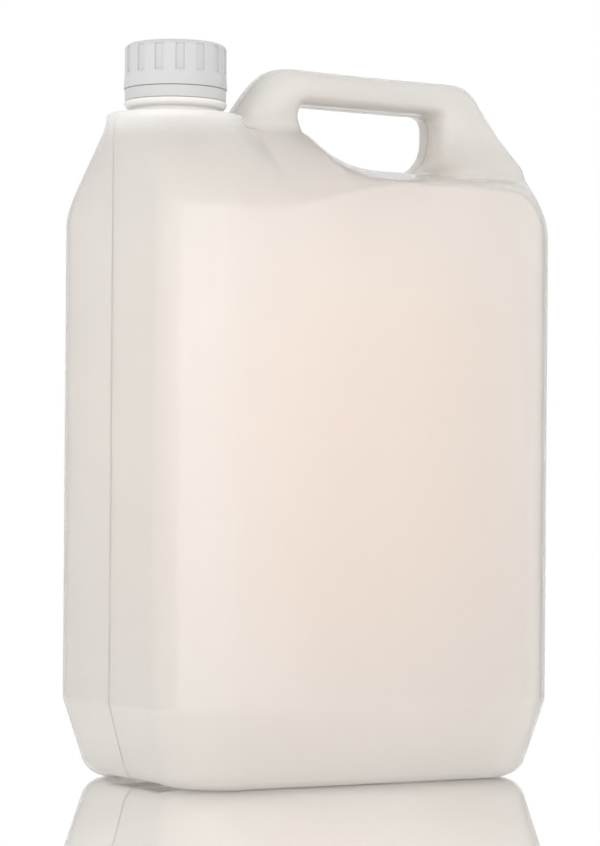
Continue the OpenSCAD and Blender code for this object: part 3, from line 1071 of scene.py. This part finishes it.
@dataclass
class TamperBand:
    """The ring that stays on the neck, with the stubs of its snapped bridges."""

    in_r: float = 19.6
    out_r: float = 21.0
    lip_r: float = 18.7
    z_foot: float = 281.35
    z_top: float = 286.24
    bridges: int = 15
    bridge_width: float = 1.1
    bridge_top: float = 286.34
    finish: MouldedPolypropylene = field(default_factory=MouldedPolypropylene)

    def build(self) -> Piece:
        """Makes the band."""
        profile = [
            (self.in_r, self.z_foot + 0.2),
            (self.in_r + 0.2, self.z_foot),
            (self.out_r - 0.5, self.z_foot),
            *arc((self.out_r - 0.4, self.z_foot + 0.4), 0.4, -90, 0, 3),
            *arc((self.out_r - 0.25, self.z_top - 0.25), 0.25, 0, 90, 3),
            (self.in_r, self.z_top),
            (self.lip_r + 0.15, self.z_top - 0.3),
            (self.lip_r, self.z_top - 0.5),
            (self.lip_r, self.z_top - 0.9),
            (self.in_r, self.z_top - 1.8),
        ]
        band = lathe("tamper_ring", profile, 180)
        stub = self.stub()
        for i in range(1, self.bridges):
            copy = copied(stub, "bridge")
            turn = -2 * math.pi * i / self.bridges
            bpy.ops.transform.rotate(value=turn, orient_axis="Z", center_override=(NECK_X * MM, 0, 0))
            finish_place(copy)
            combine(band, copy, "UNION")
        combine(band, stub, "UNION")
        dress(band, self.finish.material(), smooth_deg=32)
        return band

    def stub(self) -> Piece:
        """Makes one stub of a bridge, tapered to where it snapped."""
        low = self.z_top - 0.5
        height = self.bridge_top - low
        deep = self.out_r - self.in_r - 0.5
        deselect()
        bpy.ops.mesh.primitive_cube_add(
            size=1, location=((NECK_X + self.in_r + 0.1 + deep / 2) * MM, 0, (low + height / 2) * MM)
        )
        stub = added("bridge")
        bpy.ops.transform.resize(value=(deep * MM, self.bridge_width * MM, height * MM))
        finish_place(stub)
        mesh = edit(stub, "FACE")
        pick(stub, mesh.faces, lambda f: f.normal.z > 0.9)
        bpy.ops.transform.resize(value=(1, 0.6, 1))
        leave_edit()
        apply_modifier(stub, "BEVEL", width=0.12 * MM, segments=2)
        return stub


@dataclass
class Liner:
    """The foam disc pressed on the lip of the neck."""

    radius: float = 18.95
    z_low: float = 302.0
    thickness: float = 1.3
    finish: ClosedCellFoam = field(default_factory=ClosedCellFoam)

    def build(self) -> Piece:
        """Makes the disc, with a soft edge."""
        high, rim = self.z_low + self.thickness, 0.3
        low_edge = arc((self.radius - rim, self.z_low + rim), rim, -90, 0, 3)
        edge = [*low_edge, *arc((self.radius - rim, high - rim), rim, 0, 90, 3)]
        disc = lathe("liner_disc", [(0, self.z_low), *edge, (0, high)], 96)
        dress(disc, self.finish.material(), smooth_deg=32)
        return disc


# The studio


@dataclass
class Studio:
    """A glossy white table under soft lamps, with the photograph's camera."""

    azimuth_deg: float = 31.484
    distance: float = 1.3052
    eye_height: float = 0.1171
    lens: float = 130.55
    roll_deg: float = -0.45
    shift: Pair = (-6 / 846, 77 / 846)
    screen_top: Pair = (0.117, 0.132)
    screen_side: Pair = (0.9, 0.96)
    room_light: Pair = (0.7, 1.0)
    table_radius: float = 6.0
    table_light: Pair = (0.4, 0.2)
    table_ior: float = 1.6
    table_sheen: float = 1.7
    lamp_aim: Point = (0, 0, 0.15)

    def camera(self) -> None:
        """Sets the camera at the photograph's place."""
        turn = math.radians(self.azimuth_deg)
        deselect()
        bpy.ops.object.camera_add(
            location=(-math.sin(turn) * self.distance, -math.cos(turn) * self.distance, self.eye_height),
            rotation=(math.pi / 2, math.radians(self.roll_deg), -turn),
        )
        camera = bpy.context.active_object
        camera.data.sensor_fit = "VERTICAL"
        camera.data.sensor_height = 36
        camera.data.lens = self.lens
        camera.data.shift_x, camera.data.shift_y = self.shift
        camera.data.clip_end = 50
        bpy.context.scene.camera = camera

    def white_to(self, tree: Tree, kinds: Sequence[Rays]) -> Socket:
        """Returns a socket that is 1 for some kinds of ray."""
        path = add_node(tree, "LightPath")
        total = path.outputs[kinds[0].value]
        for kind in kinds[1:]:
            total = plus(tree, total, path.outputs[kind.value])
        return total

    def world(self) -> None:
        """Sets a white world with a plain level of light."""
        world = bpy.data.worlds.new("studio")
        bpy.context.scene.world = world
        world.use_nodes = True
        tree = world.node_tree
        tree.nodes.clear()
        white = self.white_to(tree, [Rays.CAMERA, Rays.TRANSMISSION])
        way = add_node(tree, "TexCoord").outputs["Generated"]
        height = add_node(tree, "SeparateXYZ", None, {"Vector": way}).outputs["Z"]
        turn = math.radians(self.azimuth_deg)
        ahead = (math.sin(turn), math.cos(turn), 0)
        facing = add_node(tree, "VectorMath", {"operation": "DOT_PRODUCT", 1: ahead}, {0: way})
        side = mapped(tree, facing.outputs["Value"], self.screen_side)
        screen = times(tree, mapped(tree, height, self.screen_top, (1.0, 0.0)), side)
        total = plus(tree, white, times(tree, screen, self.white_to(tree, [Rays.GLOSSY])))
        level = mapped(tree, total, target=(mapped(tree, height, target=self.room_light), 1.0))
        shine = add_node(tree, "Background", {"Color": (1, 1, 1, 1)}, {"Strength": level})
        out = add_node(tree, "OutputWorld")
        tree.links.new(shine.outputs["Background"], out.inputs["Surface"])

    def table(self) -> None:
        """Lays the glossy white table, just below the part."""
        deselect()
        bpy.ops.mesh.primitive_circle_add(
            vertices=96, radius=self.table_radius, fill_type="NGON", location=(0, 0, -0.2 * MM)
        )
        table = added("table")
        finish_place(table)
        material, tree, out = new_tree("glossy white table")
        matt = add_node(tree, "BsdfDiffuse", {"Color": linear("FAFAFA")})
        seen = self.white_to(tree, [Rays.CAMERA, Rays.GLOSSY, Rays.TRANSMISSION])
        light = mapped(tree, seen, target=self.table_light)
        glow = add_node(tree, "Emission", {"Color": (1, 1, 1, 1)}, {"Strength": light})
        both = add_node(tree, "AddShader", None, {0: matt.outputs["BSDF"], 1: glow.outputs["Emission"]})
        gloss = add_node(tree, "BsdfGlossy", {"Color": linear("FFFFFF"), "Roughness": 0.015})
        bare = add_node(tree, "Fresnel", {"IOR": self.table_ior})
        strong = {"operation": "MULTIPLY", "use_clamp": True, 1: self.table_sheen}
        sheen = add_node(tree, "Math", strong, {0: bare.outputs["Fac"]})
        shader = add_node(
            tree,
            "MixShader",
            None,
            {0: sheen.outputs["Value"], 1: both.outputs["Shader"], 2: gloss.outputs["BSDF"]},
        )
        tree.links.new(shader.outputs["Shader"], out.inputs["Surface"])
        dress(table, material)

    def lamp(self, name: str, place: Point, size: Pair, power: float, mirrored: bool = True) -> None:
        """Hangs one softbox.

        Args:
            name: The lamp's name.
            place: Its place in metres.
            size: Width and height in metres.
            power: Watts.
            mirrored: Whether shiny surfaces mirror it.
        """
        deselect()
        bpy.ops.object.light_add(type="AREA", location=place)
        lamp = bpy.context.active_object
        lamp.name = name
        lamp.data.shape = "RECTANGLE"
        lamp.data.size, lamp.data.size_y = size
        lamp.data.energy = power
        direction = np.array(self.lamp_aim) - np.array(place)
        pitch = math.atan2(-direction[2], math.hypot(direction[0], direction[1]))
        lamp.rotation_euler = (math.pi / 2 - pitch, 0, self.yaw(place, self.lamp_aim))
        lamp.visible_glossy = mirrored

    def flag(self, name: str, place: Point, aim: Point, size: Pair) -> None:
        """Stands a black card beside the set, which only shiny surfaces pick up.

        Args:
            name: The card's name.
            place: Its place in metres.
            aim: The point that it faces.
            size: Width and height in metres.
        """
        deselect()
        turn = (math.pi / 2, 0, self.yaw(place, aim))
        bpy.ops.mesh.primitive_plane_add(size=1, location=place, rotation=turn)
        card = added(name.replace(" ", "_"))
        card.scale = (size[0], size[1], 1)
        finish_place(card)
        card.visible_camera = card.visible_diffuse = card.visible_shadow = card.visible_transmission = False
        material, tree, out = new_tree("black velvet")
        velvet = add_node(tree, "BsdfDiffuse", {"Color": linear("101010")})
        tree.links.new(velvet.outputs["BSDF"], out.inputs["Surface"])
        dress(card, material)

    @staticmethod
    def yaw(place: Point, aim: Point) -> float:
        """Gives the turn about Z with which a card or lamp at a place faces a point."""
        return math.atan2(aim[0] - place[0], place[1] - aim[1]) + math.pi

    def build(self) -> None:
        """Sets camera, world, table and lamps."""
        self.camera()
        self.world()
        self.table()
        self.lamp("front wall of light", (-0.75, -1.4, 0.35), (5.3, 1.6), 25)
        self.lamp("left softbox", (-1.64, 0.44, 0.45), (1.0, 1.2), 3.6, mirrored=False)
        self.lamp("right softbox", (1.55, -0.56, 0.45), (0.8, 1.2), 1.6)
        self.lamp("back softbox", (0.9, 1.3, 0.6), (1.6, 1.4), 6, mirrored=False)
        self.flag("dark flag", (1.15, 0.15, 0.3), (0, 0, 0.3), (0.14, 1.6))


def place_piece(piece: Piece, node: str, body: Body) -> None:
    """Puts a finished piece in its node's stead.

    Args:
        piece: The finished piece.
        node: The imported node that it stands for.
        body: The body on which it rides.
    """
    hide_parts(node)
    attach(piece, body.value)
    LOG.info("%s stands for %s with %d faces", piece.name, node, len(piece.data.polygons))


def main() -> None:
    """Builds every piece and the studio."""
    logging.basicConfig(level=logging.INFO, format="%(message)s")
    bpy.context.scene.view_settings.view_transform = "Standard"
    place_piece(Shell().build(), "bottle", Body.BOTTLE)
    place_piece(TamperBand().build(), "tamper_band", Body.BOTTLE)
    place_piece(ScrewCap().build(), "cap", Body.CAP)
    place_piece(Liner().build(), "liner", Body.LINER)
    Studio().build()


if __name__ == "__main__":
    main()
